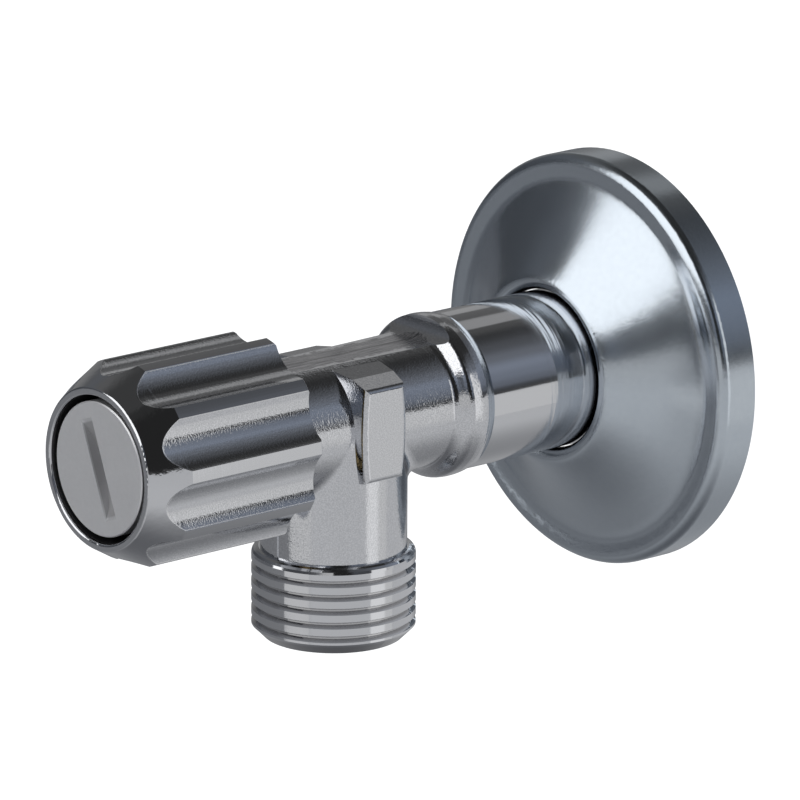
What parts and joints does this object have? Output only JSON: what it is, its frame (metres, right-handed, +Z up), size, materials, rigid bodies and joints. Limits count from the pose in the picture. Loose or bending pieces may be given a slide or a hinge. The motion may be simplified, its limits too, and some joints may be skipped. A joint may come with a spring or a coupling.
{
  "type": "angle valve with filter",
  "caption": "Chrome angle stop valve with a fluted knob, a slotted filter cap, a threaded outlet leg and a pressed wall rosette.",
  "frame": {"origin": "on the inlet axis, in the plane of the finished wall where the rosette's rim rests; the inlet thread passes through this plane", "axes": "+Y along the inlet axis into the wall, +Z up, the outlet leg points down along -Z, the knob points to the room along -Y"},
  "size_m": [0.054, 0.0971, 0.0555],
  "materials": {
    "chromed_brass": "polished chrome on brass",
    "rosette_sheet": "satin chrome on pressed sheet",
    "knob_chrome": "polished chrome on brass",
    "cap_satin": "satin chrome on brass",
    "bare_brass": "turned",
    "black_rubber": "matte",
    "white_plastic": "moulded",
    "spring_steel": "oiled",
    "stainless_steel": "turned"
  },
  "bodies": {
    "valve": {"valve_body": "chromed_brass", "bonnet": "bare_brass", "bonnet_o_ring": "black_rubber", "spindle_o_ring": "black_rubber", "thrust_ring": "white_plastic", "slip_ring": "white_plastic"},
    "rosette": {"rosette": "rosette_sheet"},
    "spindle": {"spindle": "bare_brass", "knob": "knob_chrome", "knob_snap_ring": "spring_steel"},
    "piston": {"piston": "bare_brass", "piston_o_ring": "black_rubber", "seat_washer": "black_rubber", "washer_plate": "stainless_steel", "washer_screw": "stainless_steel"},
    "filter": {"filter_holder": "white_plastic", "filter_screen": "stainless_steel", "filter_lip_seal": "black_rubber"},
    "cap": {"filter_cap": "cap_satin", "cap_o_ring": "black_rubber"}
  },
  "joints": [
    {"name": "knob_turn", "type": "hinge", "parent": "valve", "child": "spindle", "pos_m": [0, -0.07, 0], "axis": [0, -1, 0], "range_deg": [0, 630]},
    {"name": "piston_slide", "type": "slide", "parent": "valve", "child": "piston", "axis": [0, -1, 0], "range_m": [0, 0.003]},
    {"name": "filter_slide", "type": "slide", "parent": "spindle", "child": "filter", "axis": [0, -1, 0], "range_m": [0, 0.048]},
    {"name": "cap_turn", "type": "hinge", "parent": "filter", "child": "cap", "pos_m": [0, -0.083, 0], "axis": [0, -1, 0], "range_deg": [0, 990]},
    {"name": "rosette_slide", "type": "slide", "parent": "valve", "child": "rosette", "axis": [0, -1, 0], "range_m": [0, 0.0178]}
  ],
  "couplings": [
    {"joint": "piston_slide", "follows": "knob_turn", "m_per_rad": 0.00027284}
  ]
}
